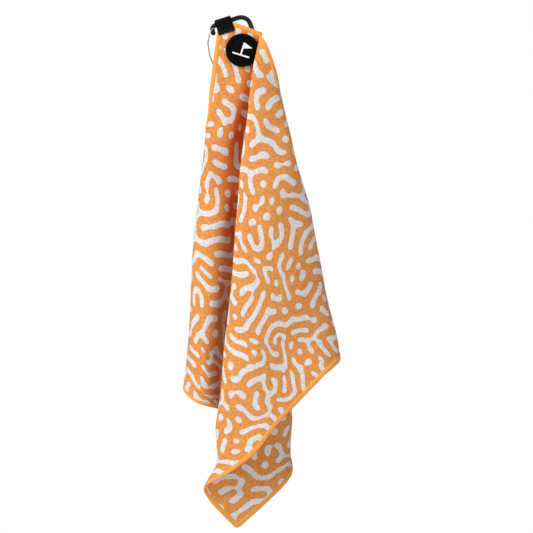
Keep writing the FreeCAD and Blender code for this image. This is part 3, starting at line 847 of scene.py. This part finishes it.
def metal_material(name, light, dark, rough):
    """Bare or plated metal with fine drawing marks and slight tarnish."""
    make = Nodes(name)
    marks = make.noise(1600, detail=3.0)
    stain = make.map(make.noise(220, detail=3.0), 0.4, 0.8, 0.0, 1.0)
    make.set(Base_Color=make.mix(stain, light, dark), Metallic=1.0,
             Roughness=make.map(marks, 0.3, 0.7, rough - 0.07, rough + 0.07))
    make.bump(marks, 0.02 * MM, 0.3)
    return make.material


def plastic_material():
    """Dark moulded plastic of the hidden washer."""
    make = Nodes("dark_plastic")
    grain = make.noise(1500, detail=2.0)
    make.set(Base_Color=make.mix(grain, (0.020, 0.020, 0.022), (0.035, 0.035, 0.038)),
             Roughness=make.map(grain, 0.3, 0.7, 0.4, 0.55))
    make.bump(grain, 0.03 * MM, 0.4)
    return make.material


def paint_nodes():
    """Gives the CAD nodes that stay their finished materials."""
    rubber = rubber_material()
    steel = metal_material("plated_steel", (0.62, 0.62, 0.60), (0.42, 0.41, 0.39), 0.30)
    coats = {
        "button_front_cap": rubber,
        "button_back_cap": rubber,
        "button_emblem": print_material(),
        "magnet": metal_material("nickel_plate", (0.66, 0.63, 0.58), (0.50, 0.47, 0.42), 0.20),
        "magnet_cup": steel,
        "spacer_washer": plastic_material(),
        "front_plate": steel,
        "rivet": steel,
        "carabiner_body": painted_metal_material(),
        "gate_wire": metal_material("steel_wire", (0.34, 0.34, 0.35), (0.20, 0.20, 0.21), 0.28),
    }
    for node, material in coats.items():
        slots = frame["nodes"][node].data.materials
        for k in range(len(slots)):
            slots[k] = material
        if not len(slots):
            slots.append(material)


# ---------------------------------------------------------------- floor, light and camera

FLOOR_DROP = 1.0  # metres under the towel, so that a view from a little below it isn't blocked
FLOOR_HALF = 12.0
FLOOR_GLOW = 0.8  # seen by the camera only, so that the floor looks white but lights nothing
SKY_LIGHT = 0.30
SKY_SEEN = 1.0
LAMPS = {  # name: place, size and power in watts
    "key": ((-2.1, -1.9, 1.3), 1.2, 83),
    "fill": ((1.1, -2.6, 0.1), 1.2, 20),
    "top": ((0.3, -0.5, 1.6), 1.0, 6),
}
VIEW_HEIGHT = 1.0355  # of the towel's height
VIEW_SHIFT = np.array([0.0048, -0.005, 0.0058])  # from the CAD box's middle
CAMERA_DISTANCE = 6.0


def make_floor():
    """A wide pale floor that stands well under the hanging towel."""
    low = cad_box[0][2] - FLOOR_DROP
    half = FLOOR_HALF
    make = Nodes("pale_floor")
    speck = make.noise(3, detail=2.0)
    seen = make.add("ShaderNodeLightPath").outputs["Is Camera Ray"]
    make.set(Base_Color=make.mix(speck, (0.90, 0.90, 0.90), (0.93, 0.93, 0.93)), Roughness=0.9,
             Emission_Color=(1.0, 1.0, 1.0), Emission_Strength=make.math("MULTIPLY", seen, FLOOR_GLOW))
    corners = [(-half, -half, low), (half, -half, low), (half, half, low), (-half, half, low)]
    floor = mesh_object("floor", corners, [(0, 1, 2, 3)], make.material, smooth=False)


def aim(thing, place, target):
    """Puts a lamp or camera at a place and turns it to a target."""
    place = np.array(place)
    away = target - place
    flat = math.hypot(away[0], away[1])
    thing.location = place
    thing.rotation_euler = (math.pi / 2 + math.atan2(away[2], flat), 0, math.atan2(-away[0], away[1]))


def add_light(name, place, size, power, target):
    """A round soft lamp, turned to the target."""
    light = bpy.data.lights.new(name, "AREA")
    light.shape = "DISK"
    light.size = size
    light.energy = power
    lamp = bpy.data.objects.new(name, light)
    bpy.context.scene.collection.objects.link(lamp)
    aim(lamp, place, target)


def light_scene(target):
    """White surroundings, a soft key from the upper left, a fill from the right and a faint top lamp."""
    world = bpy.data.worlds.new("studio")
    world.use_nodes = True
    tree = world.node_tree
    sky = tree.nodes["Background"]
    sky.inputs["Color"].default_value = (1, 1, 1, 1)
    seen = tree.nodes.new("ShaderNodeLightPath")
    strength = tree.nodes.new("ShaderNodeMapRange")  # the backdrop itself stays white
    strength.inputs["To Min"].default_value = SKY_LIGHT
    strength.inputs["To Max"].default_value = SKY_SEEN
    tree.links.new(seen.outputs["Is Camera Ray"], strength.inputs["Value"])
    tree.links.new(strength.outputs["Result"], sky.inputs["Strength"])
    bpy.context.scene.world = world
    bpy.context.scene.view_settings.view_transform = "Standard"
    for name, (place, size, power) in LAMPS.items():
        add_light(name, place, size, power, target)


def add_camera():
    """A long lens square on to the front, with the frame a little taller than the towel."""
    low, high = (np.array(corner) for corner in cad_box)
    view_height = VIEW_HEIGHT * (high[2] - low[2])
    centre = (low + high) / 2 + VIEW_SHIFT
    camera = bpy.data.cameras.new("camera")
    camera.sensor_width = 36
    camera.lens = camera.sensor_width * CAMERA_DISTANCE / view_height
    camera.clip_end = 50
    holder = bpy.data.objects.new("camera", camera)
    bpy.context.scene.collection.objects.link(holder)
    aim(holder, centre - np.array([0, CAMERA_DISTANCE, 0]), centre)
    bpy.context.scene.camera = holder
    return centre


# ---------------------------------------------------------------- building it

def build_towel():
    """The towel, its binding and the binding's seam, in place of the CAD's plain solids."""
    sheet = Sheet(hang_towel())
    cloth = make_towel(sheet, cloth_material())
    hem = make_hem(sheet, hem_material())
    seam_material = thread_material("hem_sewing_thread", (0.95, 0.46, 0.10), (0.75, 0.30, 0.05), 0.6)
    hem_thread = make_hem_thread(sheet, seam_material)
    for piece in (cloth, hem, hem_thread):
        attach(piece, "towel")
    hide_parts("towel_cloth")
    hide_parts("hem_binding")


def build_strap():
    """The webbing and its stitches, in place of the CAD's."""
    strap = make_strap(webbing_material())
    black = thread_material("black_thread", (0.030, 0.030, 0.032), (0.010, 0.010, 0.011), 0.5)
    thread = make_strap_thread(black)
    for piece in (strap, thread):
        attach(piece, "towel")
    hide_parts("strap_loop")
    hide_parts("strap_stitching")


build_towel()
build_strap()
paint_nodes()
make_floor()
light_scene(add_camera())
